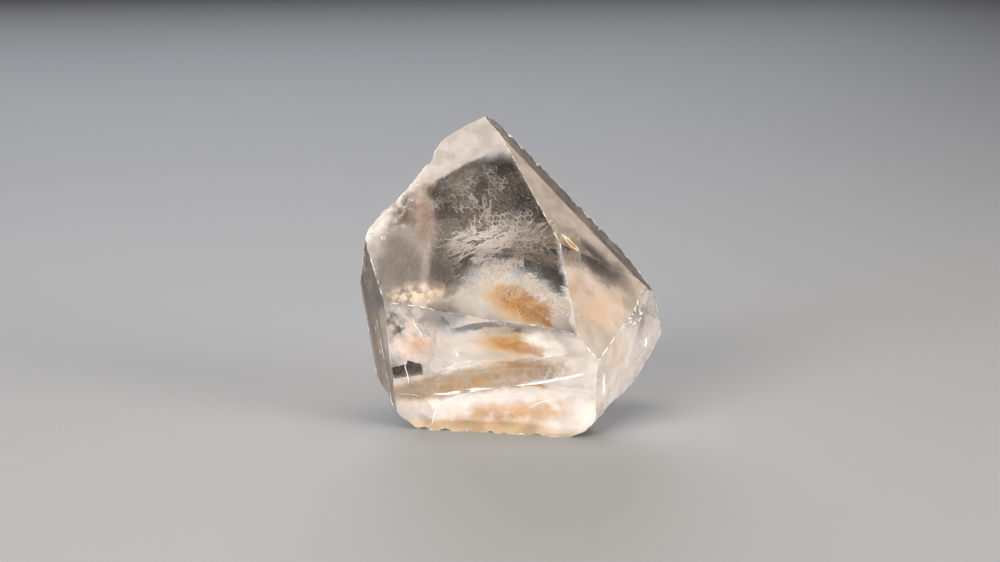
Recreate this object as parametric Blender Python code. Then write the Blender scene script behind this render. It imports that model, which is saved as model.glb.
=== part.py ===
"""Quartz crystal: one hand-sized lump of water-clear quartz, as it came off the rock.

The lump is a rough block cleft by flat faces. Broad shallow scars, narrow grooves, nicks and pits are
then taken out of it. Lengths below are in millimetres and are turned to metres as they are used. +Z is
up, the great sloping face looks to -Y, and the lump rests on its flat foot at z = 0.
"""

import math
import random

import bmesh
import bpy
from mathutils import Matrix, Vector

MM = 0.001

# Driving dimensions
BLOCK_SIDE = 80.0  # the rough block that the faces cleave, well over the finished lump
HEART_HEIGHT = 14.0  # the faces are measured from this point above the foot
NOTCH_SPACING = 2.0  # notches in the outer edge of the steep right-hand band
NOTCH_RADIUS = (1.1, 2.2)
NOTCH_DEPTH = (0.03, 0.12)
SCALLOP_SPACING = 1.7  # bites along the front edge of the foot
SCALLOP_RADIUS = (0.8, 1.2)
SCALLOP_DEPTH = (0.12, 0.22)
UNEVENNESS = (0.7, 1.4)  # a spacing is multiplied by a share drawn from this range
CAP_SHARE = 0.5  # a scar's footprint is this share of its ellipsoid's width
CUTTER_ROUNDNESS = 4  # subdivisions of the ball that cuts a scar
NICK_ROUNDNESS = 3  # subdivisions of the ball that cuts a nick or a pit
GROOVE_SIDES = 32

# Each face: compass bearing of the way it looks (0 to the front, 90 to the right), its slope above
# the horizon in degrees, and its distance from the heart.
FACES = {
    "great_front": (-7.5, 29.5, 5.8),
    "upper_right": (58.5, 40.0, 8.2),
    "middle_right": (50.0, 28.0, 8.2),
    "striped_band": (83.0, 43.5, 9.4),
    "lower_right": (66.5, -7.5, 12.1),
    "lower_front": (-13.5, -13.0, 8.1),
    "left": (-72.5, -9.0, 13.4),
    "upper_left": (-94.5, 39.5, 14.5),
    "broken_tip": (-104.0, 61.5, 16.2),
    "back_left_shoulder": (-98.0, 15.5, 14.8),
    "back_left": (-137.0, -8.0, 12.6),
    "back_left_roof": (-140.0, 32.0, 12.8),
    "back_roof": (157.0, 22.0, 10.7),
    "back_overhang": (172.0, -28.0, 11.8),
    "right_shoulder": (95.0, 30.5, 12.1),
    "right_point": (112.0, 25.0, 12.9),
    "right_keel": (132.5, -58.5, 14.0),
    "under_right": (76.5, -43.5, 15.5),
    "right_toe": (73.5, -66.0, 15.8),
    "under_left": (-104.0, -55.5, 16.1),
    "left_toe": (-96.5, -49.5, 16.5),
    "foot": (0.0, -90.0, HEART_HEIGHT),
}

# Each scar, a shallow shell-shaped hollow left by a flake: the face it lies on, its place on that face
# to the right and up from the point nearest the heart, half its width, half its height, its depth,
# and how far it is turned, in degrees.
SCARS = (
    ("lower_front", -7.6, -3.2, 4.1, 4.4, 0.55, 14),
    ("lower_front", 2.2, -2.6, 7.6, 2.4, 0.5, 1),
    ("lower_front", 0.8, -5.8, 13.0, 1.75, 0.42, 11),
    ("lower_front", 2.2, -9.9, 9.4, 2.9, 0.5, 7),
    ("lower_front", -8.6, -10.4, 2.2, 1.7, 0.35, -20),
    ("upper_left", -1.0, 1.6, 12.0, 4.6, 0.42, 0),
    ("upper_left", -1.0, 4.3, 12.0, 1.3, 0.5, 0),
    ("lower_right", 5.7, 0.5, 1.5, 1.0, 0.3, 20),
    ("lower_right", -2.7, -7.1, 0.4, 1.3, 0.15, -4),
    ("lower_right", 8.4, -4.8, 0.3, 0.6, 0.15, 10),
    ("back_overhang", -3.5, -2.0, 6.0, 4.2, 0.25, 20),
    ("back_overhang", 4.6, -4.4, 2.9, 3.2, 0.2, -15),
    ("back_roof", 0.6, 0.8, 5.6, 5.2, 0.7, 0),
    ("back_left_roof", 1.6, 2.8, 3.4, 4.4, 0.4, 10),
    ("back_left", 1.6, -2.4, 4.8, 4.6, 0.6, -30),
    ("right_point", 0.4, -8.4, 1.4, 3.0, 0.25, 0),
    ("under_right", -0.4, -1.4, 3.4, 1.5, 0.25, -15),
    ("under_left", 0.6, 1.2, 3.2, 2.0, 0.3, 0),
)

# Long shallow troughs down a face: the face, the trough's lower and upper end across and up on it,
# its radius and its depth. The narrow left face is wavy, and the steep band is striped lengthways.
TROUGHS = (
    ("left", (-1.6, -11.0), (-2.9, 8.0), 3.0, 0.16),
    ("left", (-3.0, -11.0), (-4.4, 8.0), 2.4, 0.13),
    ("left", (-4.4, -11.0), (-6.0, 8.0), 3.4, 0.18),
    ("striped_band", (3.5, -11.0), (2.6, 15.0), 0.9, 0.05),
    ("striped_band", (5.2, -12.0), (4.2, 15.0), 1.3, 0.07),
)

# Pits: the face, the place on it, and the pit's radius.
PITS = (
    ("great_front", -13.4, 3.0, 0.24),
    ("great_front", -12.2, 2.7, 0.20),
    ("great_front", -9.3, 8.5, 0.22),
    ("great_front", 4.6, -5.3, 0.18),
    ("middle_right", -1.4, -6.4, 0.2),
    ("lower_front", -5.6, -5.0, 0.2),
    ("lower_front", 3.9, -11.2, 0.24),
)


def clear_scene():
    for old in list(bpy.data.objects):
        bpy.data.objects.remove(old, do_unlink=True)


def new_collection(name):
    collection = bpy.data.collections.new(name)
    bpy.context.scene.collection.children.link(collection)
    return collection


def outward(bearing, slope):
    """The unit vector that looks along a compass bearing and a slope above the horizon."""
    turn, rise = math.radians(bearing), math.radians(slope)
    return Vector((math.sin(turn) * math.cos(rise), -math.cos(turn) * math.cos(rise), math.sin(rise)))


def heart():
    return Vector((0, 0, HEART_HEIGHT)) * MM


def face_frame(face):
    """A face's middle point, and its right, up and outward directions as columns of a matrix."""
    bearing, slope, distance = FACES[face]
    out = outward(bearing, slope)
    right = Vector((0, 0, 1)).cross(out).normalized()
    frame = Matrix((right, out.cross(right), out)).transposed()
    return heart() + out * distance * MM, frame


def on_face(face, across, up, out=0.0):
    """The point that many millimetres across, up and out from a face's middle."""
    middle, frame = face_frame(face)
    return middle + frame @ Vector((across, up, out)) * MM


def quartz_material():
    material = bpy.data.materials.new("clear_quartz")
    material.use_nodes = True
    shader = material.node_tree.nodes["Principled BSDF"]
    shader.inputs["Base Color"].default_value = (0.86, 0.79, 0.73, 1.0)
    shader.inputs["Roughness"].default_value = 0.06
    shader.inputs["Metallic"].default_value = 0.0
    shader.inputs["IOR"].default_value = 1.544
    shader.inputs["Transmission Weight"].default_value = 1.0
    return material


def cleave(block):
    """Cuts the block by every face in turn and closes each cut."""
    for bearing, slope, distance in FACES.values():
        out = outward(bearing, slope)
        geometry = block.verts[:] + block.edges[:] + block.faces[:]
        cut = bmesh.ops.bisect_plane(
            block, geom=geometry, plane_co=heart() + out * distance * MM, plane_no=out, clear_outer=True
        )
        rim = [piece for piece in cut["geom_cut"] if isinstance(piece, bmesh.types.BMEdge)]
        if rim:
            bmesh.ops.edgeloop_fill(block, edges=rim)
    bmesh.ops.recalc_face_normals(block, faces=block.faces)


def make_lump(collection):
    """The faceted lump before anything is taken out of it."""
    block = bmesh.new()
    bmesh.ops.create_cube(block, size=BLOCK_SIDE * MM, matrix=Matrix.Translation(heart()))
    cleave(block)
    mesh = bpy.data.meshes.new("quartz_crystal")
    block.to_mesh(mesh)
    block.free()
    mesh.materials.append(quartz_material())
    lump = bpy.data.objects.new("quartz_crystal", mesh)
    collection.objects.link(lump)
    return lump


def make_cutter(name, shape, collection):
    mesh = bpy.data.meshes.new(name)
    shape.to_mesh(mesh)
    shape.free()
    cutter = bpy.data.objects.new(name, mesh)
    cutter.hide_render = True
    cutter.display_type = "WIRE"
    collection.objects.link(cutter)
    return cutter


def scar_cutter(collection, face, across, up, half_width, half_height, depth, turn):
    """A flattened ball that dips into a face by the scar's depth, over the scar's footprint."""
    thickness = depth / (1 - math.sqrt(1 - CAP_SHARE**2))
    radii = Vector((half_width / CAP_SHARE, half_height / CAP_SHARE, thickness)) * MM
    _, frame = face_frame(face)
    place = Matrix.Translation(on_face(face, across, up, thickness - depth)) @ frame.to_4x4()
    place = place @ Matrix.Rotation(math.radians(turn), 4, "Z") @ Matrix.Diagonal(radii.to_4d())
    ball = bmesh.new()
    bmesh.ops.create_icosphere(ball, subdivisions=CUTTER_ROUNDNESS, radius=1, matrix=place)
    return make_cutter(f"scar_on_{face}", ball, collection)


def groove_cutter(collection, name, start, end, out, radius, depth):
    """A round bar from start to end, sunk into the face that looks along out."""
    along = (end - start).normalized()
    side = out.cross(along).normalized()
    frame = Matrix((side, along.cross(side), along)).transposed().to_4x4()
    middle = (start + end) / 2 + out * (radius - depth) * MM
    bar = bmesh.new()
    bmesh.ops.create_cone(
        bar,
        cap_ends=True,
        segments=GROOVE_SIDES,
        radius1=radius * MM,
        radius2=radius * MM,
        depth=(end - start).length,
        matrix=Matrix.Translation(middle) @ frame,
    )
    return make_cutter(name, bar, collection)


def ball_cutter(collection, name, centre, radius):
    ball = bmesh.new()
    bmesh.ops.create_icosphere(
        ball, subdivisions=NICK_ROUNDNESS, radius=radius * MM, matrix=Matrix.Translation(centre)
    )
    return make_cutter(name, ball, collection)


def notch_cutters(collection):
    """Uneven notches in the outer edge of the steep band, which fade out before its inner edge."""
    chance = random.Random(11)
    lowest, highest = -6.0, 11.5
    first, fades, rim, last = 1.0, 4.4, 7.0, 11.0
    out = outward(*FACES["striped_band"][:2])
    cutters = []
    up = lowest
    while up < highest:
        skew = chance.uniform(-0.6, 0.6)
        tilt = chance.uniform(*NOTCH_DEPTH) / (rim - fades)
        start = on_face("striped_band", first, up - skew, (fades - first) * tilt)
        end = on_face("striped_band", last, up + skew, (fades - last) * tilt)
        radius = chance.uniform(*NOTCH_RADIUS)
        cutters.append(groove_cutter(collection, "notch", start, end, out, radius, 0.0))
        up += NOTCH_SPACING * chance.uniform(*UNEVENNESS)
    return cutters


def trough_cutters(collection):
    """The wavy relief of the narrow left face and the stripes along the steep band."""
    cutters = []
    for face, low, high, radius, depth in TROUGHS:
        start, end = on_face(face, *low), on_face(face, *high)
        out = outward(*FACES[face][:2])
        cutters.append(groove_cutter(collection, "trough", start, end, out, radius, depth))
    return cutters


def scallop_cutters(collection):
    """Small bites along the front edge of the foot, where the lump parted from the rock."""
    chance = random.Random(5)
    first, last, edge_height = -7.6, 5.0, -12.45
    cutters = []
    across = first
    while across < last:
        radius = chance.uniform(*SCALLOP_RADIUS)
        depth = chance.uniform(*SCALLOP_DEPTH)
        edge = on_face("lower_front", across, edge_height)
        away = (outward(*FACES["lower_front"][:2]) + Vector((0, 0, -1))).normalized()
        cutters.append(ball_cutter(collection, "scallop", edge + away * (radius - depth) * MM, radius))
        across += SCALLOP_SPACING * chance.uniform(*UNEVENNESS)
    return cutters


def pit_cutters(collection):
    """Small round pits, each a ball sunk to a little over its radius."""
    share_sunk = 0.6
    return [
        ball_cutter(collection, "pit", on_face(face, across, up, radius * (1 - share_sunk)), radius)
        for face, across, up, radius in PITS
    ]


def take_out(lump, cutters):
    for cutter in cutters:
        cut = lump.modifiers.new(cutter.name, "BOOLEAN")
        cut.operation = "DIFFERENCE"
        cut.solver = "EXACT"
        cut.object = cutter


def stand_on_origin(lump, cutters):
    """Slides the lump with its cutters until its box is centred over the origin."""
    bpy.context.view_layer.update()
    shape = lump.evaluated_get(bpy.context.evaluated_depsgraph_get()).to_mesh()
    xs = [point.co.x for point in shape.vertices]
    ys = [point.co.y for point in shape.vertices]
    slide = Matrix.Translation((-(min(xs) + max(xs)) / 2, -(min(ys) + max(ys)) / 2, 0))
    for piece in [lump, *cutters]:
        piece.data.transform(slide)


clear_scene()
crystal = new_collection("quartz crystal")
cutter_collection = new_collection("cutters")
quartz = make_lump(crystal)
tools = [scar_cutter(cutter_collection, *scar) for scar in SCARS]
tools += notch_cutters(cutter_collection)
tools += trough_cutters(cutter_collection)
tools += scallop_cutters(cutter_collection)
tools += pit_cutters(cutter_collection)
take_out(quartz, tools)
stand_on_origin(quartz, tools)
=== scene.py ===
import math

import bmesh
import bpy
import numpy as np
from mathutils import Matrix, Vector


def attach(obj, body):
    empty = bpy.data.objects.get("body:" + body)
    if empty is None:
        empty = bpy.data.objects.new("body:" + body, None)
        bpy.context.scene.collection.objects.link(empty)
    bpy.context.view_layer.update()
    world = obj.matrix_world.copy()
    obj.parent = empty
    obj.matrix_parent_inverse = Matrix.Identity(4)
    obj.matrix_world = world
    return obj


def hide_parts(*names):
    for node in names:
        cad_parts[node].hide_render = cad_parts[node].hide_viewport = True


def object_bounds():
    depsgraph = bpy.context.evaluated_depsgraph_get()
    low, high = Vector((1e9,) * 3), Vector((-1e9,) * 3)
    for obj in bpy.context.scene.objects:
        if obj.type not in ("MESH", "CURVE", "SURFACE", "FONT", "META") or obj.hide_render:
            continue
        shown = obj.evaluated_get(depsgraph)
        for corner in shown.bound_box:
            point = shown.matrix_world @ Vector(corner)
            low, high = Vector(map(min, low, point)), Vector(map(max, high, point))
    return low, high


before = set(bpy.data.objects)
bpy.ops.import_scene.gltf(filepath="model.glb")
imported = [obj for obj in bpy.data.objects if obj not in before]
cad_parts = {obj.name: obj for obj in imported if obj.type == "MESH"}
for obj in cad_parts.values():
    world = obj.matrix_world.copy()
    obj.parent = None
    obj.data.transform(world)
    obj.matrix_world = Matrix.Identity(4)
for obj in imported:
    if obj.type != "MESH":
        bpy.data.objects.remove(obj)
cad_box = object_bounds()

# The lump: one broken piece of clear rock crystal, with glossy growth faces and shelly fractures.
# It grew in one piece. Near the tip and on the right its skin is milky, and its unseen back is partly frosted
# and stained by iron. Its roof, underside and upper back are painted dark: painted shade, so that the window
# looks dark through them. FACES gives each broad face's bearing, slope and distance from the heart.
MM = 0.001
HEART = Vector((-0.235, -2.345, 14.0)) * MM
FACES = {
    "great_front": (-7.5, 29.5, 5.8),
    "upper_right": (58.5, 40.0, 8.2),
    "middle_right": (50.0, 28.0, 8.2),
    "striped_band": (83.0, 43.5, 9.4),
    "lower_right": (66.5, -7.5, 12.1),
    "lower_front": (-13.5, -13.0, 8.1),
    "left": (-72.5, -9.0, 13.4),
    "upper_left": (-94.5, 39.5, 14.5),
    "back_overhang": (172.0, -28.0, 11.8),
    "back_left": (-137.0, -8.0, 12.6),
    "back_roof": (157.0, 22.0, 10.7),
    "back_left_roof": (-140.0, 32.0, 12.8),
    "under_left": (-104.0, -55.5, 16.1),
    "left_toe": (-96.5, -49.5, 16.5),
    "foot": (0.0, -90.0, 14.0),
}


def colour(hexed):
    """Linear colour of an sRGB hex value."""
    parts = [int(hexed[i:i + 2], 16) / 255 for i in (1, 3, 5)]
    return tuple(c / 12.92 if c <= 0.04045 else ((c + 0.055) / 1.055) ** 2.4 for c in parts) + (1,)


def add(tree, kind, links=(), **settings):
    """One node with its settings, and its inputs by name or number, as sockets or values."""
    made = tree.nodes.new(kind)
    for key, value in settings.items():
        setattr(made, key, value)
    for key, value in dict(links).items():
        if isinstance(value, bpy.types.NodeSocket):
            tree.links.new(value, made.inputs[key])
        else:
            made.inputs[key].default_value = value
    return made


def face_turn(face):
    """A face's own across, up and outward directions, and its middle, on the lump."""
    bearing, slope, distance = FACES[face]
    a, s = math.radians(bearing), math.radians(slope)
    out = Vector((math.sin(a) * math.cos(s), -math.cos(a) * math.cos(s), math.sin(s)))
    across = Vector((0, 0, 1)).cross(out).normalized()
    up = out.cross(across)
    return Matrix((across, up, out)).transposed(), HEART + out * distance * MM


def on_face(tree, face):
    """A place on the lump as millimetres across, up and out of one of its faces."""
    turn, middle = face_turn(face)
    place = add(tree, "ShaderNodeTexCoord").outputs["Object"]
    local = add(tree, "ShaderNodeMapping", {0: place, "Location": middle, "Rotation": turn.to_euler()},
                vector_type="TEXTURE")
    scaled = add(tree, "ShaderNodeVectorMath", {0: local.outputs[0], "Scale": 1 / MM}, operation="SCALE")
    return scaled.outputs[0]


def ruffled(tree, place, size, amount, detail=3):
    """The same place pushed about by noise of a size, in millimetres, by up to an amount."""
    noise = add(tree, "ShaderNodeTexNoise", {"Vector": place, "Scale": 1 / size, "Detail": detail})
    middled = add(tree, "ShaderNodeVectorMath", {0: noise.outputs["Color"], 1: (0.5, 0.5, 0.5)},
                  operation="SUBTRACT")
    push = add(tree, "ShaderNodeVectorMath", {0: middled.outputs[0], "Scale": amount * 2}, operation="SCALE")
    return add(tree, "ShaderNodeVectorMath", {0: place, 1: push.outputs[0]}, operation="ADD").outputs[0]


def maths(tree, operation, *values):
    """One step of arithmetic on numbers or sockets."""
    return add(tree, "ShaderNodeMath", dict(enumerate(values)), operation=operation).outputs[0]


def ramp(tree, value, start, end, low=0.0, high=1.0):
    """From low to high as a value goes from start to end, smoothly and no further."""
    made = add(tree, "ShaderNodeMapRange", {0: value, 1: start, 2: end, 3: low, 4: high},
               interpolation_type="SMOOTHSTEP")
    return made.outputs[0]


FACET_EDGE, CHIP_EDGE, ANY_DEPTH = 0.2, 0.3, 1000


def patch(tree, place, middle, half, turn=0, edge=0.5):
    """1 inside an ellipse on a face, in millimetres, and 0 outside it, over a soft edge."""
    local = add(tree, "ShaderNodeMapping", {
        0: place, "Location": (*middle, 0), "Rotation": (0, 0, math.radians(turn)),
        "Scale": (*half, ANY_DEPTH)}, vector_type="TEXTURE")
    # Hard-edged ones are squarer, as facets are: each squaring of the distances straightens their sides.
    squarings = 2 if edge < FACET_EDGE else 1 if edge < CHIP_EDGE else 0
    for _ in range(squarings):
        local = add(tree, "ShaderNodeVectorMath", {0: local.outputs[0], 1: local.outputs[0]},
                    operation="MULTIPLY")
    far = add(tree, "ShaderNodeVectorMath", {0: local.outputs[0]}, operation="LENGTH").outputs["Value"]
    return ramp(tree, far, 1 + edge, max(0, 1 - edge))


def left_of(tree, place, start, end, edge=0.5):
    """1 to the left of the line from start to end on a face, and 0 to its right, over a soft edge."""
    along = Vector(end) - Vector(start)
    left = Vector((-along.y, along.x)).normalized()
    dot = add(tree, "ShaderNodeVectorMath", {0: place, 1: (left.x, left.y, 0)}, operation="DOT_PRODUCT")
    past = left.dot(Vector(start))
    return ramp(tree, dot.outputs["Value"], past - edge, past + edge)


def grain(tree, place, size, low, high, detail=2, squash=(1, 1, 1)):
    """Noise of a size in millimetres, cut to run from 0 at low to 1 at high."""
    shaped = add(tree, "ShaderNodeVectorMath", {0: place, 1: squash}, operation="MULTIPLY").outputs[0]
    noise = add(tree, "ShaderNodeTexNoise", {"Vector": shaped, "Scale": 1 / size, "Detail": detail})
    return ramp(tree, noise.outputs["Fac"], low, high)


def between(tree, mask, low, high):
    """A number or a colour that goes from low to high with a mask."""
    kind, first, out = ("FLOAT", 2, 0) if isinstance(high, (int, float)) else ("RGBA", 6, 2)
    return add(tree, "ShaderNodeMix", {0: mask, first: low, first + 1: high}, data_type=kind).outputs[out]


MERGE, FLAT, SMOOTH = 0.002 * MM, math.radians(0.4), math.radians(25)
BROAD_AREA, BROAD_BEND = 0.8 * MM**2, math.radians(0.8)
crystal = bpy.data.objects.new("crystal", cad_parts["quartz_crystal"].data.copy())
bpy.context.scene.collection.objects.link(crystal)
skin = bmesh.new()
skin.from_mesh(crystal.data)
bmesh.ops.remove_doubles(skin, verts=skin.verts, dist=MERGE)
bmesh.ops.dissolve_limit(skin, angle_limit=FLAT, verts=skin.verts, edges=skin.edges)
# The broad faces stay dead flat, with a sharp rim at every scar and pit. Only the hollows are shaded smooth.
broad = {face for face in skin.faces if face.calc_area() > BROAD_AREA}
for edge in skin.edges:
    angle = edge.calc_face_angle(0)
    edge.smooth = angle < (BROAD_BEND if broad.intersection(edge.link_faces) else SMOOTH)
for face in skin.faces:
    face.smooth = True
skin.to_mesh(crystal.data)
skin.free()
crystal.data.materials.clear()

# Each small face is told which side of the lump it lies on. A scar or a nick goes with the side it cuts into.
SIDES = {
    "great": ["great_front"],
    "right": ["upper_right", "middle_right"],
    "band": ["striped_band"],
    "point": ["lower_right"],
    "broken": ["lower_front"],
    "left": ["left"],
    "slope": ["upper_left"],
    "back": ["back_overhang"],
    "roof": ["back_roof", "back_left_roof"],
    "behind": ["back_left"],
    "under": ["under_left", "left_toe", "foot"],
}
FACING = 0.6
DEEPEST_SCAR = 1.0
TURNED_AWAY = 9.0
middles = np.array([p.center for p in crystal.data.polygons])
normals = np.array([p.normal for p in crystal.data.polygons])
depths = []
for face in FACES:
    turn, middle = face_turn(face)
    out = np.array(turn.col[2])
    depth = np.abs((middles - np.array(middle)) @ out) / MM
    depths.append(np.where(normals @ out > FACING, depth, TURNED_AWAY))
nearest = np.array(list(FACES))[np.argmin(depths, axis=0)]
close = np.min(depths, axis=0) < DEEPEST_SCAR
for name, faces in SIDES.items():
    values = np.where(close & np.isin(nearest, faces), 1.0, 0.0)
    crystal.data.attributes.new(name, "FLOAT", "FACE").data.foreach_set("value", values.astype(np.float32))

# Milky quartz is clear quartz full of tiny bubbles. Milk is how much of the light they scatter at once, and
# haze is the roughness of the skin: growth faces are glossy and the weathered back is frosted.
# For each side: milk, haze and colour. The roof's dark brown and the underside's near-black are painted
# shade.
# REST is for the small faces that lie on none of them.
SKIN = {
    "great": (0.56, 0.05, "#b9aea5"), "right": (0.52, 0.06, "#b5a596"), "band": (0.24, 0.22, "#a89e95"),
    "point": (0.47, 0.09, "#cfc4ba"), "broken": (0.11, 0.12, "#f3ede7"), "left": (0.07, 0.10, "#a79c93"),
    # Painted shade: the roof's dark brown and the underside's near-black, which the window shows through.
    "slope": (0.62, 0.16, "#c0b6ad"), "back": (0.30, 1.0, "#d9cbbe"), "roof": (0.34, 0.08, "#5b524a"),
    "behind": (0.16, 0.32, "#b5a89c"), "under": (0.55, 0.50, "#332e29"),
}
REST = (0.06, 0.40, "#978e85")
# Zones on a side, in millimetres on its face: middle, half lengths, turn, softness, milk, colour (None keeps
# what is there) and speckle size. The hard-edged ones are facets seen through the skin; their near-black is
# painted shade.
ZONES = {
    "great": [
        ((1.2, -2.9), (5.8, 3.3), -8, 0.35, 0.02, "#ffffff", None),
        # Painted shade: a dark grey tint in the clear skin at the window's lower left.
        ((-5.5, -0.6), (1.5, 2.4), 0, 0.5, 0.02, "#75716d", None),
        ((-2.6, 3.2), (4.0, 1.5), 14, 0.8, 0.03, "#ece8e5", None),
        # The next three are painted shade: grey tints in the clear skin over the window.
        ((-3.6, 6.4), (1.5, 2.8), -12, 0.9, 0.02, "#c4bfbb", 0.9),
        ((-4.4, 9.3), (2.4, 0.8), 28, 0.9, 0.16, "#a29e9b", 0.5),
        ((3.4, 4.2), (1.9, 2.4), 40, 0.9, 0.08, "#a09994", 0.8),
        ((-12.0, 5.5), (0.8, 6.5), -37, 0.6, 0.62, "#cec4bb", None),
        ((-10.4, -1.6), (2.8, 5.2), -8, 0.5, 0.10, None, None),
        # Painted shade: a dark tint in the clear skin at the upper left.
        ((-10.0, 5.4), (1.4, 1.8), -20, 0.7, 0.06, "#857a71", 0.7),
        ((-8.1, 4.9), (1.0, 2.9), 6, 0.9, 0.30, "#a58d7c", None),
        ((-8.2, -3.1), (3.0, 0.9), 4, 0.9, 0.70, "#ddc2a3", 0.8),
        ((-11.6, -0.6), (0.9, 3.6), -4, 0.9, 0.16, None, 0.6),
        # The next two are painted shade: dark grey tints in the clear skin at the window's edges.
        ((-7.3, 7.6), (1.2, 0.7), -25, 0.6, 0.03, "#8d8884", None),
        ((-6.1, 1.5), (0.8, 1.4), 0, 0.7, 0.05, "#8a8581", None),
    ],
    "right": [
        # The next two are painted shade: dark tints in the skin that make the dark streak across the right
        # face.
        ((3.9, -1.0), (4.0, 1.5), -46, 0.9, 0.09, "#92887f", None),
        ((0.4, 0.4), (1.5, 1.3), -20, 0.8, 0.08, "#8d837a", None),
        ((3.0, -5.8), (4.0, 1.6), 15, 0.8, 0.54, "#bda590", None),
        ((1.5, 1.2), (1.05, 0.42), -62, 0.35, 0.80, "#e9d3b2", None),
        ((1.5, 1.15), (0.75, 0.22), -60, 0.5, 0.88, "#96622f", None),
    ],
    "point": [
        ((4.4, -1.5), (3.2, 1.1), -10, 0.8, 0.22, "#a0968d", 0.7),
        ((2.4, -4.5), (3.5, 3.5), 0, 0.9, 0.56, "#d6cac0", None),
    ],
    "broken": [
        ((1.5, -9.8), (9.8, 2.0), 5, 0.35, 0.54, "#dcd2c7", None),
        ((-8.3, -2.3), (2.4, 3.2), 12, 0.45, 0.66, "#d4b9a7", 1.2),
        ((-7.0, -3.6), (1.3, 0.7), -20, 0.6, 0.60, "#c4916c", 0.9),
        # The next three are painted shade: a grey patch and a near-black facet at the lower left, tints in
        # the clear skin.
        ((-10.1, -1.0), (0.65, 1.2), 8, 0.28, 0.03, "#8d847b", 1.0),
        ((-8.95, -6.2), (1.5, 0.62), 9, 0.19, 0.02, "#322d29", None),
        ((-8.3, -5.75), (0.75, 0.42), -16, 0.19, 0.02, "#3b3632", None),
        ((-1.5, 0.2), (3.4, 0.35), -7, 0.5, 0.08, "#c9c1b9", None),
        ((4.2, -0.9), (6.2, 0.6), -9, 0.6, 0.54, "#cbc1b8", 0.5),
        ((7.9, -2.6), (2.4, 0.9), -5, 0.6, 0.55, "#dacdc2", None),
        ((0.5, -12.0), (14.0, 0.8), 0, 0.5, 0.62, "#c2a684", None),
        ((10.0, -6.0), (1.0, 7.0), 0, 0.6, 0.50, "#dbd0c6", None),
        ((8.2, -10.2), (3.6, 1.7), 12, 0.5, 0.70, "#dad0c6", None),
        ((-8.6, -8.9), (2.6, 2.0), 20, 0.5, 0.66, "#dfcdbd", None),
        ((-1.6, -6.8), (10.0, 1.3), 12, 0.3, 0.55, "#96795f", None),
        ((-1.4, -6.7), (9.5, 1.2), 12, 0.5, 0.50, "#a3937f", 0.55),
        ((-2.6, -7.2), (4.0, 0.5), 14, 0.8, 0.52, "#9d7440", 0.7),
        ((8.0, -4.7), (2.8, 1.5), 10, 0.6, 0.56, "#ccbfb4", None),
        ((1.7, -2.5), (3.3, 1.3), 8, 0.8, 0.11, "#dfbb8a", None),
        ((4.6, -2.1), (1.5, 0.9), -8, 0.6, 0.60, "#e6dcd2", None),
        ((-5.8, -4.5), (1.5, 1.2), -10, 0.7, 0.35, "#cdc2b8", 0.9),
        ((5.6, -5.5), (1.7, 1.0), 15, 0.5, 0.46, "#82715c", 0.6),
        ((0.6, -10.6), (5.0, 1.1), 4, 0.9, 0.62, "#bb8d60", 1.2),
        ((4.6, -9.6), (2.6, 0.9), 8, 0.9, 0.56, "#c8a27b", 0.8),
    ],
    "roof": [
        ((-2.0, -3.0), (5.0, 2.0), 10, 0.8, 0.40, "#cdbfb1", 1.2),
        ((3.5, 2.5), (2.4, 3.0), -30, 0.8, 0.45, "#d8cabd", 0.8),
        ((-4.2, 2.4), (1.6, 1.1), 35, 0.7, 0.50, "#ad9077", 0.6),
    ],
    "behind": [
        ((-1.0, 3.5), (5.5, 2.5), -12, 0.8, 0.46, "#d2c4b7", 1.4),
        ((2.6, -3.2), (3.0, 2.4), 30, 0.8, 0.42, "#c8b8a8", 0.9),
        ((-3.4, -2.0), (1.8, 1.3), -25, 0.7, 0.40, "#a8937e", 0.5),
    ],
    "back": [
        # Painted shade: a dark patch on the upper back, seen dark through the window.
        ((0.0, 5.6), (10.0, 5.0), 8, 0.35, 0.60, "#38322d", None),
        ((-0.3, 0.2), (5.8, 2.5), 22, 0.35, 0.97, "#ffffff", None),
        ((2.35, 2.95), (1.9, 1.3), -12, 0.5, 0.95, "#ffffff", None),
        # Painted shade: a dark patch in the back's skin beside the stain.
        ((-4.8, 2.4), (3.9, 1.5), 44, 0.3, 0.60, "#4c453e", None),
        ((-0.6, -8.4), (9.0, 3.4), 0, 0.35, 0.62, "#ffffff", None),
        ((-0.5, -0.6), (4.2, 1.8), 22, 0.6, 0.95, "#f9dfa8", None),
        ((-0.6, -0.6), (3.7, 1.5), 26, 0.5, 0.95, "#edb464", 1.6),
        ((-1.4, -0.9), (3.4, 1.2), 28, 0.5, 0.95, "#d6954a", 1.2),
        ((-2.9, -1.6), (2.0, 0.8), 26, 0.6, 0.95, "#c5834a", 0.7),
        ((-1.2, -0.8), (3.2, 1.2), 28, 0.6, 0.95, "#9c6433", 0.22),
        ((-4.9, -1.3), (0.9, 2.0), 20, 0.5, 0.95, "#fdf6ee", None),
        ((4.6, -0.9), (1.9, 1.3), 20, 0.5, 0.95, "#fdf6ee", None),
        ((0.4, -8.2), (5.0, 1.6), 0, 0.7, 0.55, "#dca873", 1.2),
    ],
}
# How a side's zones are frayed: by noise of the first size, by up to the second, in millimetres.
RUFFLES = {
    "great": (1.6, 0.55), "right": (2.2, 0.7), "point": (1.2, 0.5), "broken": (1.2, 0.4),
    "roof": (2.0, 1.0), "behind": (2.0, 1.0), "back": (1.3, 0.8),
}
COARSE_SPECKLE, FINE_SPECKLE, SPECKLE_TOP = 0.28, 0.5, 0.64

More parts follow.
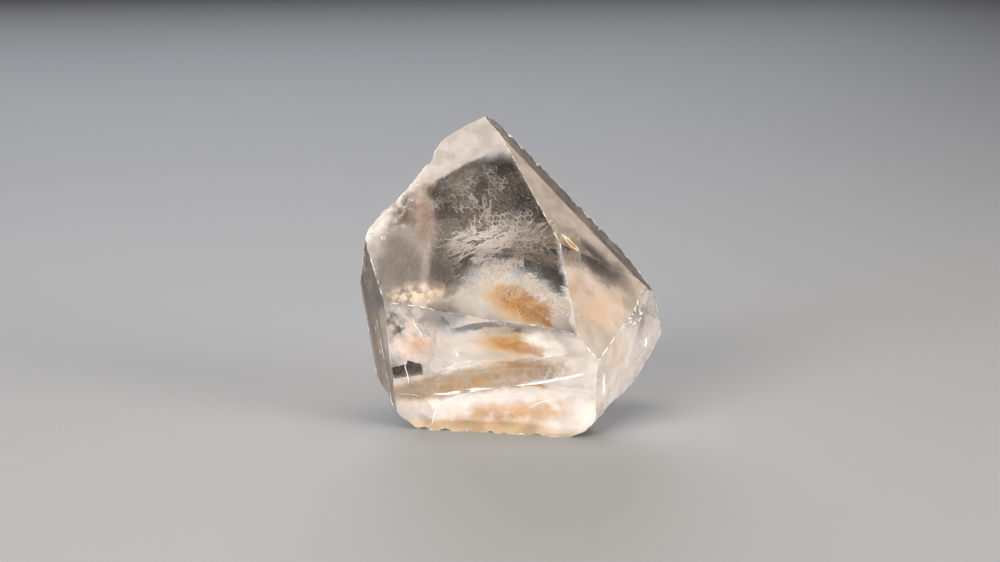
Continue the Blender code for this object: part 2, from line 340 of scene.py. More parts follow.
# The clear window: the milk stops along a sharp line at its upper left, and fades at its other sides. Its
# skin there is tinted grey, which is painted shade for the dark seen through it. Each line is its start, its
# end and how soft it is, in millimetres on the great front face.
WINDOW_CORNER = ((-3.88, 11.0), (-8.8, 8.1), 0.2)
WINDOW_SIDES = [
    ((1.0, 11.9), (-3.5, 11.3), 1.0), ((3.2, 7.0), (0.6, 11.0), 0.7),
    ((6.3, -2.3), (5.3, 2.1), 0.4), ((-7.4, 8.0), (-7.4, 0.0), 0.5),
]
# Painted shade: the grey tint of the window's clear skin, so that the window looks dark.
WINDOW_SHADE_TINT = "#aba7a4"

quartz = bpy.data.materials.new("rock_crystal")
quartz.use_nodes = True
t = quartz.node_tree
shader = t.nodes["Principled BSDF"]
shader.inputs["IOR"].default_value = 1.544
lies = {name: add(t, "ShaderNodeAttribute", attribute_name=name).outputs["Fac"] for name in SIDES}
places = {name: on_face(t, faces[-1]) for name, faces in SIDES.items() if name in ZONES}
milk, haze, tint = REST[0], REST[1], colour(REST[2])
for name, (its_milk, its_haze, its_colour) in SKIN.items():
    its_tint = colour(its_colour)
    if name in ZONES:
        ragged = ruffled(t, ruffled(t, places[name], *RUFFLES[name], 2), 0.32, 0.16, 1)
        chipped = ruffled(t, places[name], 0.5, 0.13, 2)
        if name == "great":
            window = left_of(t, ruffled(t, places[name], 3.0, 0.25), *WINDOW_CORNER)
            for side in WINDOW_SIDES:
                window = maths(t, "MULTIPLY", window, left_of(t, ragged, *side))
            its_milk = between(t, window, its_milk, 0.0)
            # In the window the skin takes the grey tint of painted shade.
            its_tint = between(t, window, its_tint, colour(WINDOW_SHADE_TINT))
        for middle, half, turn, edge, zone_milk, zone_colour, speckle in ZONES[name]:
            zone = patch(t, chipped if edge < FACET_EDGE else ragged, middle, half, turn, edge)
            if speckle:
                low = COARSE_SPECKLE if speckle > 0.3 else FINE_SPECKLE
                zone = maths(t, "MULTIPLY", zone, grain(t, places[name], speckle, low, SPECKLE_TOP, 3))
            its_milk = between(t, zone, its_milk, zone_milk)
            if zone_colour:
                its_tint = between(t, zone, its_tint, colour(zone_colour))
    if isinstance(its_milk, float):
        milk = between(t, lies[name], milk, its_milk)
    else:
        milk = add(t, "ShaderNodeMix", {0: lies[name], 2: milk, 3: its_milk}, data_type="FLOAT").outputs[0]
    haze = between(t, lies[name], haze, its_haze)
    tint = between(t, lies[name], tint, its_tint)
# Bubbles come in clouds 2 mm across and as fine dust, here 0.15 mm so that it shows.
clouds = grain(t, places["great"], 2.0, 0.3, 0.7, 4)
dust = grain(t, places["great"], 0.15, 0.60, 0.76, 2)
milk = maths(t, "MULTIPLY", milk, ramp(t, clouds, 0, 1, 0.80, 1.12))
milk = maths(t, "MULTIPLY_ADD", maths(t, "MULTIPLY", dust, lies["great"]), 0.26, milk)
t.links.new(maths(t, "SUBTRACT", 1.0, milk), shader.inputs["Transmission Weight"])
t.links.new(haze, shader.inputs["Roughness"])
t.links.new(tint, shader.inputs["Base Color"])
# Relief in millimetres: growth hills 2.5 mm apart on the faces, and shell ripples 1.3 mm apart on fractures.
HILL_HEIGHT, RIPPLE_HEIGHT, RUGGED_HEIGHT = 0.010, 0.012, 0.06
hills = grain(t, places["great"], 2.5, 0.2, 0.8, 2)
ripples = add(t, "ShaderNodeTexWave", {
    "Vector": places["broken"], "Scale": 0.25, "Distortion": 5.0, "Detail": 2.0, "Detail Scale": 0.8},
    wave_type="RINGS", rings_direction="Z")
shelly = maths(t, "MULTIPLY", lies["broken"], RIPPLE_HEIGHT)
rugged = grain(t, places["back"], 1.1, 0.25, 0.75, 4)
worn = maths(t, "ADD", maths(t, "ADD", lies["back"], lies["roof"]), lies["behind"])
height = maths(t, "ADD", maths(t, "MULTIPLY", hills, HILL_HEIGHT),
               maths(t, "ADD", maths(t, "MULTIPLY", ripples.outputs["Fac"], shelly),
                     maths(t, "MULTIPLY", rugged, maths(t, "MULTIPLY", worn, RUGGED_HEIGHT))))
relief = add(t, "ShaderNodeBump", {"Strength": 1.0, "Distance": MM, "Height": height})
t.links.new(relief.outputs[0], shader.inputs["Normal"])
# The body keeps back a little more blue than red, so that its thick places look faintly brown.
depth_tint = add(t, "ShaderNodeVolumeAbsorption", {"Color": colour("#e9ddce"), "Density": 12})
t.links.new(depth_tint.outputs[0], t.nodes["Material Output"].inputs["Volume"])
crystal.data.materials.append(quartz)
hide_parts("quartz_crystal")
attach(crystal, "root")

# The healed fracture in the window: a crack that closed again and left a net of fine white tubes of fluid.
# It lies 2 mm and more under the great front face, bulges a little, and has coarse cells and fine ones.


def inputs(tree, **kinds):
    """A Geometry Nodes tree is given its named inputs, and hands back their sockets."""
    for label, kind in kinds.items():
        tree.interface.new_socket(label, in_out="INPUT", socket_type="NodeSocket" + kind)
    tree.interface.new_socket("Geometry", in_out="OUTPUT", socket_type="NodeSocketGeometry")
    return add(tree, "NodeGroupInput").outputs


def grown(tree, name, values, start=None):
    """A plain mesh object from a Geometry Nodes tree and its named inputs, grown on a mesh or on nothing."""
    seed = bpy.data.objects.new(name, start or bpy.data.meshes.new(name))
    bpy.context.scene.collection.objects.link(seed)
    grower = seed.modifiers.new(name, "NODES")
    grower.node_group = tree
    sockets = {item.name: item.identifier for item in tree.interface.items_tree if item.in_out == "INPUT"}
    for label, value in values.items():
        grower[sockets[label]] = value
    bpy.context.view_layer.update()
    grown_mesh = bpy.data.meshes.new_from_object(seed.evaluated_get(bpy.context.evaluated_depsgraph_get()))
    seed.modifiers.remove(grower)
    seed.data = grown_mesh
    return seed


def trim(piece, is_outside):
    """The parts of a piece that lie outside its place in the lump are taken off."""
    form = bmesh.new()
    form.from_mesh(piece.data)
    bmesh.ops.delete(form, geom=[v for v in form.verts if is_outside(v.co.x, v.co.y)], context="VERTS")
    form.to_mesh(piece.data)
    form.free()


def finish_inside(piece, name, face, depth, material=None):
    """A piece made flat in millimetres goes to its depth under a face, and rides inside the lump."""
    piece.name = name
    turn, middle = face_turn(face)
    sunk = Matrix.Translation((0, 0, -depth * MM)) @ Matrix.Scale(MM, 4)
    piece.data.transform(Matrix.Translation(middle) @ turn.to_4x4() @ sunk)
    if material:
        piece.data.materials.append(material)
    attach(piece, "root")


# Tubes of fluid as fine as these scatter all the light, so they look matt white, and in places a little warm.
fluid = bpy.data.materials.new("fluid_tubes")
fluid.use_nodes = True
t = fluid.node_tree
shader = t.nodes["Principled BSDF"]
shader.inputs["Roughness"].default_value = 0.5
place = on_face(t, "great_front")
t.links.new(between(t, grain(t, place, 0.8, 0.35, 0.65), colour("#fff0e2"), colour("#fffaf4")),
            shader.inputs["Base Color"])

net = bpy.data.node_groups.new("healed_net", "GeometryNodeTree")
given = inputs(net, Width="Float", Height="Float", Across="Int", Up="Int", Jitter="Float", Tube="Float",
               Open="Float", Bulge="Float", Seed="Int", Stuff="Material")
cells = add(net, "GeometryNodeMeshGrid", {
    0: given["Width"], 1: given["Height"], 2: given["Across"], 3: given["Up"]})
cells = add(net, "GeometryNodeTriangulate", {0: cells.outputs[0]})
least = add(net, "ShaderNodeMath", {0: given["Jitter"], 1: -1.0}, operation="MULTIPLY")
shove = add(net, "FunctionNodeRandomValue", {2: least.outputs[0], 3: given["Jitter"], 8: given["Seed"]},
            data_type="FLOAT")
later = add(net, "ShaderNodeMath", {0: given["Seed"], 1: 7}, operation="ADD")
heave = add(net, "FunctionNodeRandomValue", {2: least.outputs[0], 3: given["Jitter"], 8: later.outputs[0]},
            data_type="FLOAT")
push = add(net, "ShaderNodeCombineXYZ", {0: shove.outputs[1], 1: heave.outputs[1]})
cells = add(net, "GeometryNodeSetPosition", {0: cells.outputs[0], "Offset": push.outputs[0]})
cells = add(net, "GeometryNodeDualMesh", {0: cells.outputs[0]})
where = add(net, "GeometryNodeInputPosition").outputs[0]
# Gaps in the net are about 2.6 mm across. Its tubes wander over 0.5 mm, and swell and thin over 1 mm.
gaps = add(net, "ShaderNodeTexNoise", {"Vector": where, "Scale": 0.38, "Detail": 3.0})
empty = add(net, "FunctionNodeCompare", {0: gaps.outputs["Fac"], 1: given["Open"]}, operation="LESS_THAN")
cells = add(net, "GeometryNodeDeleteGeometry", {0: cells.outputs[0], 1: empty.outputs[0]}, domain="EDGE")
lines = add(net, "GeometryNodeMeshToCurve", {0: cells.outputs[0]})
lines = add(net, "GeometryNodeResampleCurve", {0: lines.outputs[0], 3: 0.16}, mode="LENGTH")
wander = add(net, "ShaderNodeTexNoise", {"Vector": where, "Scale": 2.2, "Detail": 4.0})
middled = add(net, "ShaderNodeVectorMath", {0: wander.outputs["Color"], 1: (0.5, 0.5, 0.5)},
              operation="SUBTRACT")
curl = add(net, "ShaderNodeVectorMath", {0: middled.outputs[0], 1: (0.55, 0.55, 0.8)}, operation="MULTIPLY")
lines = add(net, "GeometryNodeSetPosition", {0: lines.outputs[0], "Offset": curl.outputs[0]})
far = add(net, "ShaderNodeVectorMath", {0: where}, operation="LENGTH")
sunk = add(net, "ShaderNodeMath", {0: far.outputs["Value"], 1: far.outputs["Value"]}, operation="MULTIPLY")
sunk = add(net, "ShaderNodeMath", {0: sunk.outputs[0], 1: given["Bulge"]}, operation="MULTIPLY")
sink = add(net, "ShaderNodeCombineXYZ", {2: sunk.outputs[0]})
lines = add(net, "GeometryNodeSetPosition", {0: lines.outputs[0], "Offset": sink.outputs[0]})
stout = add(net, "ShaderNodeTexNoise", {"Vector": where, "Scale": 0.9, "Detail": 4.0})
stout = add(net, "ShaderNodeMapRange", {0: stout.outputs["Fac"], 1: 0.38, 2: 0.68, 3: 0.15, 4: 2.1})
stout = add(net, "ShaderNodeMath", {0: stout.outputs[0], 1: given["Tube"]}, operation="MULTIPLY")
ring = add(net, "GeometryNodeCurvePrimitiveCircle", {0: 4, "Radius": 1.0})
tubes = add(net, "GeometryNodeCurveToMesh", {0: lines.outputs[0], 1: ring.outputs[0], 2: stout.outputs[0]})
tubes = add(net, "GeometryNodeRealizeInstances", {0: tubes.outputs[0]})
tubes = add(net, "GeometryNodeSetMaterial", {0: tubes.outputs[0], "Material": given["Stuff"]})
add(net, "NodeGroupOutput", {0: tubes.outputs[0]})


def outside_window(x, y):
    """Whether a place on the net, in millimetres, is past the window's sides or in its clear hole."""
    return (x < -8.6 + 0.15 * y or y > 11.2 or x > 5.6 - 0.52 * y or y > 15.6 + 0.62 * x
            or (y < 2.2 and x > 0.4) or math.hypot(x - 1.4, y - 8.4) < 1.9)


# Cells of 0.62 mm and 0.34 mm, with tubes up to 0.16 and 0.09 mm thick: depth, cell, tube, openness, seed.
NETS = {"net_coarse": (2.4, 0.62, 0.038, 0.49, 3), "net_fine": (2.0, 0.34, 0.021, 0.50, 8)}
NET_WIDTH, NET_HEIGHT = 15.0, 12.0
for label, (depth, size, tube, opened, number) in NETS.items():
    made = grown(net, label, {
        "Width": NET_WIDTH, "Height": NET_HEIGHT,
        "Across": int(NET_WIDTH / size), "Up": int(NET_HEIGHT / size), "Jitter": size * 0.42,
        "Tube": tube, "Open": opened, "Bulge": -0.006, "Seed": number, "Stuff": fluid})
    made.data.transform(Matrix.Translation((-2.2, 6.3, 0)))
    trim(made, outside_window)
    finish_inside(made, label, "great_front", depth)

# White wisps in the same healed crack: feathery strokes of bubbles, drawn out to the right and up.
# Each is a bunch of curved threads 0.4 to 3 mm long that taper to nothing at both ends. The white fringes
# round the iron stain, under the rear overhang, have grown in the same way.
feather = bpy.data.node_groups.new("feathered_wisps", "GeometryNodeTree")
given = inputs(feather, Width="Float", Height="Float", Density="Float", Length="Float", Thick="Float",
               Turn="Float", Seed="Int", Stuff="Material")
area = add(feather, "GeometryNodeMeshGrid", {0: given["Width"], 1: given["Height"], 2: 2, 3: 2})
starts = add(feather, "GeometryNodeDistributePointsOnFaces", {
    0: area.outputs[0], "Density": given["Density"], "Seed": given["Seed"]})
where = add(feather, "GeometryNodeInputPosition").outputs[0]
span = add(feather, "ShaderNodeCombineXYZ", {0: given["Width"], 1: given["Height"], 2: 1.0})
share = add(feather, "ShaderNodeVectorMath", {0: where, 1: span.outputs[0]}, operation="DIVIDE")
share = add(feather, "ShaderNodeVectorMath", {0: share.outputs[0]}, operation="LENGTH")
# The threads stand in bunches about 1.4 mm across.
bunches = add(feather, "ShaderNodeTexNoise", {"Vector": where, "Scale": 0.7, "Detail": 2.0})
room_left = add(feather, "ShaderNodeMath", {0: bunches.outputs["Fac"], 1: 1.5, 2: -0.33},
                operation="MULTIPLY_ADD")
outer = add(feather, "FunctionNodeCompare", {0: share.outputs["Value"], 1: room_left.outputs[0]},
            operation="GREATER_THAN")
starts = add(feather, "GeometryNodeDeleteGeometry", {0: starts.outputs[0], 1: outer.outputs[0]},
             domain="POINT")
line = add(feather, "GeometryNodeCurvePrimitiveLine", {0: (-0.5, 0, 0), 1: (0.5, 0, 0)})
line = add(feather, "GeometryNodeResampleCurve", {0: line.outputs[0], "Count": 16})
sway = add(feather, "FunctionNodeRandomValue", {2: -0.35, 3: 0.35, 8: given["Seed"]}, data_type="FLOAT")
sway = add(feather, "ShaderNodeMath", {0: sway.outputs[1], 1: given["Turn"]}, operation="ADD")
spin = add(feather, "ShaderNodeCombineXYZ", {2: sway.outputs[0]})
stretch = add(feather, "FunctionNodeRandomValue", {2: 0.35, 3: 1.0, 8: given["Seed"]}, data_type="FLOAT")
stretch = add(feather, "ShaderNodeMath", {0: stretch.outputs[1], 1: given["Length"]}, operation="MULTIPLY")
threads = add(feather, "GeometryNodeInstanceOnPoints", {
    0: starts.outputs[0], 2: line.outputs[0], 5: spin.outputs[0], 6: stretch.outputs[0]})
threads = add(feather, "GeometryNodeRealizeInstances", {0: threads.outputs[0]})
# They bend over 2.9 mm by up to 0.8 mm, and quiver over 0.6 mm by up to a quarter of a millimetre.
for waves_per_mm, amount in ((0.35, 1.6), (1.6, 0.5)):
    drift = add(feather, "ShaderNodeTexNoise", {"Vector": where, "Scale": waves_per_mm, "Detail": 3.0})
    middled = add(feather, "ShaderNodeVectorMath", {0: drift.outputs["Color"], 1: (0.5, 0.5, 0.5)},
                  operation="SUBTRACT")
    curl = add(feather, "ShaderNodeVectorMath", {0: middled.outputs[0], 1: (amount, amount, 0.3 * amount)},
               operation="MULTIPLY")
    threads = add(feather, "GeometryNodeSetPosition", {0: threads.outputs[0], "Offset": curl.outputs[0]})
along = add(feather, "GeometryNodeSplineParameter").outputs["Factor"]
back_along = add(feather, "ShaderNodeMath", {0: 1.0, 1: along}, operation="SUBTRACT")
belly = add(feather, "ShaderNodeMath", {0: along, 1: back_along.outputs[0]}, operation="MULTIPLY")
belly = add(feather, "ShaderNodeMath", {0: belly.outputs[0], 1: given["Thick"]}, operation="MULTIPLY")
stout = add(feather, "ShaderNodeTexNoise", {"Vector": where, "Scale": 1.4, "Detail": 4.0})
stout = add(feather, "ShaderNodeMapRange", {0: stout.outputs["Fac"], 1: 0.35, 2: 0.7, 3: 0.6, 4: 6.0})
belly = add(feather, "ShaderNodeMath", {0: belly.outputs[0], 1: stout.outputs[0]}, operation="MULTIPLY")
ring = add(feather, "GeometryNodeCurvePrimitiveCircle", {0: 5, "Radius": 1.0})
plumes = add(feather, "GeometryNodeCurveToMesh", {
    0: threads.outputs[0], 1: ring.outputs[0], 2: belly.outputs[0]})
plumes = add(feather, "GeometryNodeRealizeInstances", {0: plumes.outputs[0]})
plumes = add(feather, "GeometryNodeSetMaterial", {0: plumes.outputs[0], "Material": given["Stuff"]})
add(feather, "NodeGroupOutput", {0: plumes.outputs[0]})

# Each bunch of wisps: face, middle in millimetres, turn, depth, and its size and threads.
WISPS = {
    "wisps_main": ("great_front", (-2.6, 3.1), 14, 2.5, {
        "Width": 8.0, "Height": 2.6, "Density": 6.5, "Length": 2.8, "Thick": 0.11, "Turn": 0.0}),
    "wisps_right": ("great_front", (1.6, 3.6), 32, 2.6, {
        "Width": 4.6, "Height": 3.0, "Density": 4.0, "Length": 2.0, "Thick": 0.09, "Turn": 0.0}),
    "wisps_star": ("great_front", (-3.9, 8.0), -38, 1.9, {
        "Width": 2.4, "Height": 0.8, "Density": 16.0, "Length": 1.1, "Thick": 0.16, "Turn": 0.0}),
    "wisps_middle": ("great_front", (-2.9, 5.6), 80, 2.2, {
        "Width": 4.0, "Height": 1.6, "Density": 6.0, "Length": 1.6, "Thick": 0.11, "Turn": 0.0}),
    "wisps_low": ("great_front", (-4.9, -1.4), 35, 2.4, {
        "Width": 3.6, "Height": 3.2, "Density": 4.0, "Length": 1.6, "Thick": 0.07, "Turn": 0.0}),
    "wisps_lower": ("great_front", (-3.4, 1.4), 24, 2.4, {
        "Width": 3.6, "Height": 1.5, "Density": 9.0, "Length": 1.9, "Thick": 0.11, "Turn": 0.0}),
    "fringe": ("back_overhang", (-2.7, 0.6), 43, 0.4, {
        "Width": 7.0, "Height": 1.5, "Density": 20.0, "Length": 1.3, "Thick": 0.17, "Turn": 1.6}),
    "fringe_top": ("back_overhang", (1.4, 3.5), -8, 0.5, {
        "Width": 4.5, "Height": 1.4, "Density": 20.0, "Length": 1.8, "Thick": 0.17, "Turn": 1.8}),
    "fringe_right": ("back_overhang", (-4.9, -0.4), 22, 0.3, {
        "Width": 2.6, "Height": 3.2, "Density": 12.0, "Length": 1.7, "Thick": 0.13, "Turn": 2.9}),
}
for label, (face, middle, turn, depth, values) in WISPS.items():
    made = grown(feather, label, {**values, "Seed": 4, "Stuff": fluid})
    made.data.transform(Matrix.Translation((*middle, 0)) @ Matrix.Rotation(math.radians(turn), 4, "Z"))
    finish_inside(made, label, face, depth)

# The same crack's finest bubbles are too small to model one by one: a thin veil, white where they crowd.
# Strokes run along the wisps, and foam with walls 0.4 mm apart fills the rest of the window.
veil = bpy.data.materials.new("bubble_veil")
veil.use_nodes = True
t = veil.node_tree
shader = t.nodes["Principled BSDF"]
shader.inputs["Base Color"].default_value = colour("#fff1e4")
shader.inputs["Roughness"].default_value = 0.7
place = on_face(t, "great_front")
loose = ruffled(t, ruffled(t, place, 1.6, 0.5), 0.3, 0.12)
combed = add(t, "ShaderNodeMapping", {0: loose, "Rotation": (0, 0, math.radians(16))}, vector_type="TEXTURE")
strokes = maths(t, "MULTIPLY", grain(t, combed.outputs[0], 0.9, 0.47, 0.62, 4, squash=(0.4, 1.7, 1)),
                patch(t, loose, (-1.9, 3.1), (4.6, 2.0), 14, 0.6))
walls = add(t, "ShaderNodeTexVoronoi", {"Vector": loose, "Scale": 1 / 0.42}, feature="DISTANCE_TO_EDGE")
foam = maths(t, "MULTIPLY", ramp(t, walls.outputs["Distance"], 0.0, 0.14, 0.36, 0.0),
             grain(t, place, 1.7, 0.42, 0.62, 3))
mist = maths(t, "MULTIPLY", grain(t, place, 2.4, 0.45, 0.75, 5), 0.06)
specks = maths(t, "MULTIPLY", grain(t, place, 0.11, 0.54, 0.72, 1), 0.55)
inside = patch(t, loose, (-2.2, 4.4), (7.4, 6.6), 0, 0.3)
cover = maths(t, "MAXIMUM", maths(t, "MULTIPLY", strokes, 0.85), foam)
cover = maths(t, "MAXIMUM", cover, maths(t, "MAXIMUM", mist, specks))
t.links.new(maths(t, "MULTIPLY", cover, inside), shader.inputs["Alpha"])
sheet = bpy.data.meshes.new("veil")
form = bmesh.new()
corners = [(-8.4, -2.6), (5.9, -2.6), (4.7, 3.9), (0.6, 10.8), (-3.6, 11.0), (-7.6, 8.4), (-8.4, 7.2)]
form.faces.new([form.verts.new((x, y, 0)) for x, y in corners])
bmesh.ops.inset_individual(form, faces=form.faces[:], thickness=0.3)
form.to_mesh(sheet)
form.free()
veiled = bpy.data.objects.new("veil", sheet)
bpy.context.scene.collection.objects.link(veiled)
finish_inside(veiled, "veil", "great_front", 2.8, veil)

# Fluid inclusions: single round bubbles 0.03 to 0.09 mm across, strewn through the clear part.
# They are drops of fluid shut in as the crystal grew, and look like the tubes of the net.
strewn = bpy.data.node_groups.new("strewn_bubbles", "GeometryNodeTree")
given = inputs(strewn, Width="Float", Height="Float", Thickness="Float", Density="Float", Radius="Float",
               Seed="Int", Stuff="Material")
area = add(strewn, "GeometryNodeMeshGrid", {0: given["Width"], 1: given["Height"], 2: 2, 3: 2})
dots = add(strewn, "GeometryNodeDistributePointsOnFaces", {
    0: area.outputs[0], "Density": given["Density"], "Seed": given["Seed"]})
level = add(strewn, "FunctionNodeRandomValue", {2: -0.5, 3: 0.5, 8: given["Seed"]}, data_type="FLOAT")
level = add(strewn, "ShaderNodeMath", {0: level.outputs[1], 1: given["Thickness"]}, operation="MULTIPLY")
lift = add(strewn, "ShaderNodeCombineXYZ", {2: level.outputs[0]})
dots = add(strewn, "GeometryNodeSetPosition", {0: dots.outputs[0], "Offset": lift.outputs[0]})
bead = add(strewn, "GeometryNodeMeshIcoSphere", {0: given["Radius"], 1: 1})
girth = add(strewn, "FunctionNodeRandomValue", {2: 0.4, 3: 1.3, 8: given["Seed"]}, data_type="FLOAT")
beads = add(strewn, "GeometryNodeInstanceOnPoints", {
    0: dots.outputs[0], 2: bead.outputs[0], 6: girth.outputs[1]})
beads = add(strewn, "GeometryNodeRealizeInstances", {0: beads.outputs[0]})
beads = add(strewn, "GeometryNodeSetMaterial", {0: beads.outputs[0], "Material": given["Stuff"]})
add(strewn, "NodeGroupOutput", {0: beads.outputs[0]})
bubbles = grown(strewn, "bubbles", {
    "Width": 14.0, "Height": 14.0, "Thickness": 2.6, "Density": 5.0, "Radius": 0.035,
    "Seed": 2, "Stuff": fluid})
bubbles.data.transform(Matrix.Translation((-3.2, 3.6, 0)))
trim(bubbles, lambda x, y: x > 5.6 - 0.5 * y or x < -9.5 + 0.3 * y or y < -3.5)
finish_inside(bubbles, "bubbles", "great_front", 2.4)

# Bruised edges: the sharp edges are chipped by knocks, and the crushed quartz there is white. The white line
# is also a painted highlight, standing in for the glint of light along the sharp edges. The line is broken,
# up to
# 0.11 mm thick, and lies half in the skin. Crushed quartz is a white powder of tiny bright faces, so it has a
# soft gloss.
white_bruise_and_glint = bpy.data.materials.new("crushed_quartz_and_edge_glint")
white_bruise_and_glint.use_nodes = True
white_bruise_and_glint.node_tree.nodes["Principled BSDF"].inputs["Base Color"].default_value = colour("#fffaf5")
white_bruise_and_glint.node_tree.nodes["Principled BSDF"].inputs["Roughness"].default_value = 0.45
bruise_glint_tree = bpy.data.node_groups.new("bruised_and_glinting_edges", "GeometryNodeTree")
given = inputs(bruise_glint_tree, Geometry="Geometry", Sharpness="Float", Thick="Float", Stuff="Material")
bend = add(bruise_glint_tree, "GeometryNodeInputMeshEdgeAngle").outputs["Unsigned Angle"]
sharp = add(bruise_glint_tree, "FunctionNodeCompare", {0: bend, 1: given["Sharpness"]}, operation="GREATER_THAN")
rims = add(bruise_glint_tree, "GeometryNodeMeshToCurve", {0: given["Geometry"], 1: sharp.outputs[0]})
rims = add(bruise_glint_tree, "GeometryNodeResampleCurve", {0: rims.outputs[0], "Length": 0.1 * MM}, mode="LENGTH")
where = add(bruise_glint_tree, "GeometryNodeInputPosition").outputs[0]
# The chips are about 0.7 mm long, and come in stretches about 4 mm long.
chips = add(bruise_glint_tree, "ShaderNodeTexNoise", {"Vector": where, "Scale": 1.5 / MM, "Detail": 4.0})
stout = add(bruise_glint_tree, "ShaderNodeMapRange", {0: chips.outputs["Fac"], 1: 0.46, 2: 0.72, 3: 0.0, 4: 1.0})
stretches = add(bruise_glint_tree, "ShaderNodeTexNoise", {"Vector": where, "Scale": 0.26 / MM, "Detail": 2.0})
stretches = add(bruise_glint_tree, "ShaderNodeMapRange", {
    0: stretches.outputs["Fac"], 1: 0.42, 2: 0.62, 3: 0.25, 4: 1.1})
stout = add(bruise_glint_tree, "ShaderNodeMath", {0: stout.outputs[0], 1: stretches.outputs[0]}, operation="MULTIPLY")
stout = add(bruise_glint_tree, "ShaderNodeMath", {0: stout.outputs[0], 1: given["Thick"]}, operation="MULTIPLY")
ring = add(bruise_glint_tree, "GeometryNodeCurvePrimitiveCircle", {0: 4, "Radius": 1.0})
cords = add(bruise_glint_tree, "GeometryNodeCurveToMesh", {
    0: rims.outputs[0], 1: ring.outputs[0], 2: stout.outputs[0]})
none = add(bruise_glint_tree, "FunctionNodeCompare", {0: chips.outputs["Fac"], 1: 0.465}, operation="LESS_THAN")
cords = add(bruise_glint_tree, "GeometryNodeDeleteGeometry", {0: cords.outputs[0], 1: none.outputs[0]}, domain="FACE")
cords = add(bruise_glint_tree, "GeometryNodeRealizeInstances", {0: cords.outputs[0]})
cords = add(bruise_glint_tree, "GeometryNodeSetMaterial", {0: cords.outputs[0], "Material": given["Stuff"]})
add(bruise_glint_tree, "NodeGroupOutput", {0: cords.outputs[0]})
# White cords along the sharp edges: partly chipped quartz, partly a painted highlight for the glint on the
# edges.
edges = grown(bruise_glint_tree, "bruised_and_glinting_edges", {
    "Sharpness": math.radians(24), "Thick": 0.05 * MM, "Stuff": white_bruise_and_glint}, start=crystal.data.copy())


def keep_in_box(mesh):
    """The white of a bruise or of a painted edge glint never stands out of the lump's own box, nor under the
    foot.
    """
    for vert in mesh.vertices:
        vert.co = [min(max(c, low), high) for c, low, high in zip(vert.co, *cad_box)]


keep_in_box(edges.data)
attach(edges, "root")

# Open cracks and bruises that catch the light: thin white lines in the skin, 0.04 to 0.3 mm thick.
# Each is a line given on a face, with its half thickness and points in millimetres. The star is a knock
# with short cracks all round it.
CRACKS = [
    ("lower_front", 0.030, [
        (-6.8, -12.3), (-6.5, -10.9), (-6.1, -9.8), (-5.0, -9.2), (-4.0, -8.6), (-2.6, -8.2)]),
    ("lower_front", 0.020, [(-3.9, -3.2), (-3.75, -4.1), (-3.3, -5.2)]),
    ("lower_front", 0.028, [(-9.1, -5.1), (-9.1, -5.8), (-8.9, -6.6), (-8.85, -7.5)]),
    ("lower_front", 0.055, [(10.9, -5.5), (10.95, -6.6), (10.9, -7.7)]),
    ("lower_front", 0.018, [(3.2, -9.6), (3.9, -9.1), (4.6, -8.8), (5.9, -8.4)]),
    ("lower_front", 0.020, [(-8.0, -0.2), (-7.8, -1.1), (-7.3, -1.9), (-6.9, -3.0)]),
    ("lower_right", 0.16, [(8.2, -4.3), (8.5, -4.9), (8.4, -5.4)]),
]
KNOCK_X, KNOCK_Y, KNOCK_WIDENED = 4.4, -1.5, 2.4
knock = np.random.default_rng(5)
for number in range(11):
    angle = number * 0.57 + knock.uniform(-0.25, 0.25)
    near, middling, end = knock.uniform(0.2, 0.5), knock.uniform(0.5, 0.8), knock.uniform(0.8, 1.3)
    split = []
    for reach, bent in ((near, 0.0), (middling, 0.2), (end, 0.05)):
        split.append((KNOCK_X + KNOCK_WIDENED * math.cos(angle + bent) * reach,
                      KNOCK_Y + math.sin(angle) * reach))
    CRACKS.append(("lower_right", 0.075, split))
SUNK, TAPERED = 0.01, 0.15
lines = bpy.data.curves.new("cracks", "CURVE")
lines.dimensions = "3D"
lines.bevel_depth = 1.0
lines.bevel_resolution = 1
for face, thick, points in CRACKS:
    turn, middle = face_turn(face)
    spline = lines.splines.new("POLY")
    spline.points.add(len(points) - 1)
    for place, point in enumerate(points):
        co = middle + turn @ Vector((*point, -SUNK)) * MM
        spline.points[place].co = (*co, 1)
        spline.points[place].radius = thick * MM * (1 if 0 < place < len(points) - 1 else TAPERED)
drawn = bpy.data.objects.new("cracks_drawn", lines)
bpy.context.scene.collection.objects.link(drawn)
cracks = bpy.data.objects.new("cracks", bpy.data.meshes.new_from_object(drawn))
bpy.data.objects.remove(drawn)
bpy.context.scene.collection.objects.link(cracks)
cracks.data.materials.append(white_bruise_and_glint)
keep_in_box(cracks.data)
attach(cracks, "root")

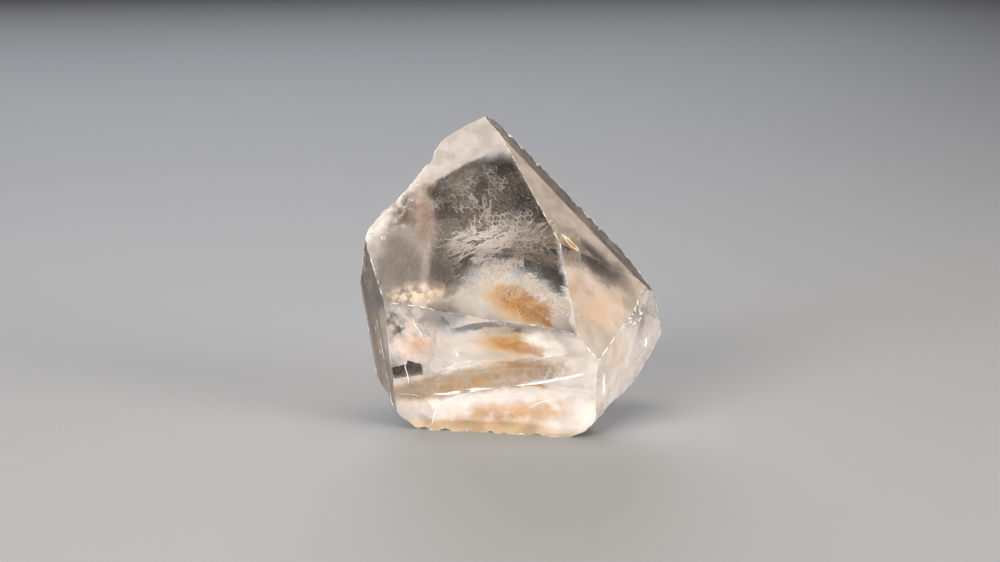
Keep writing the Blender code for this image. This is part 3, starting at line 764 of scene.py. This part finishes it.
# The studio: a pale plain floor, one broad light overhead and softer ones at the sides and behind.
# The lamps stand where no broad face of the lump mirrors them into the lens. The room is dim and plain.
bpy.ops.mesh.primitive_plane_add(size=12)
floor = bpy.context.object
floor.name = "floor"
paper = bpy.data.materials.new("matt_card")
paper.use_nodes = True
paper.node_tree.nodes["Principled BSDF"].inputs["Base Color"].default_value = colour("#8a8783")
paper.node_tree.nodes["Principled BSDF"].inputs["Roughness"].default_value = 0.8
floor.data.materials.append(paper)


def softbox(name, place, aim, width, height, power, warmth="#ffffff", spread=180):
    """A studio lamp with a square cloth front, of a width and height in metres, turned to its aim."""
    light = bpy.data.lights.new(name, "AREA")
    light.shape = "RECTANGLE"
    light.size = width
    light.size_y = height
    light.energy = power
    light.color = colour(warmth)[:3]
    light.spread = math.radians(spread)
    lamp = bpy.data.objects.new(name, light)
    lamp.location = place
    lamp.rotation_euler = (Vector(aim) - Vector(place)).to_track_quat("-Z", "Y").to_euler()
    lamp.visible_camera = False
    bpy.context.scene.collection.objects.link(lamp)


softbox("overhead", (0, -0.02, 0.36), (0, 0, 0), 0.30, 0.24, 0.45, spread=130)
softbox("front_left", (-0.22, -0.38, 0.17), (0, 0, 0.015), 0.26, 0.22, 1.50, spread=120)
softbox("front_right", (0.34, -0.24, 0.10), (0, 0, 0.015), 0.24, 0.16, 1.28, spread=120)
softbox("behind", (-0.10, 0.66, 0.20), (0, 0, 0.015), 0.50, 0.26, 0.62, "#edf2ff", 70)

room = bpy.data.worlds.new("room")
room.use_nodes = True
room.node_tree.nodes["Background"].inputs["Color"].default_value = colour("#222120")
room.node_tree.nodes["Background"].inputs["Strength"].default_value = 1.0
bpy.context.scene.world = room
bpy.context.scene.view_settings.view_transform = "Standard"

lens = bpy.data.cameras.new("camera")
lens.lens = 100
lens.sensor_width = 36
lens.clip_start = 0.01
camera = bpy.data.objects.new("camera", lens)
bpy.context.scene.collection.objects.link(camera)
aim = Vector((-1.235, -2.345, 14.49)) * MM
tilt = math.radians(10)
away = 277.78 * MM
camera.location = aim + Vector((0, -math.cos(tilt), math.sin(tilt))) * away
camera.rotation_euler = (aim - camera.location).to_track_quat("-Z", "Y").to_euler()
bpy.context.scene.camera = camera
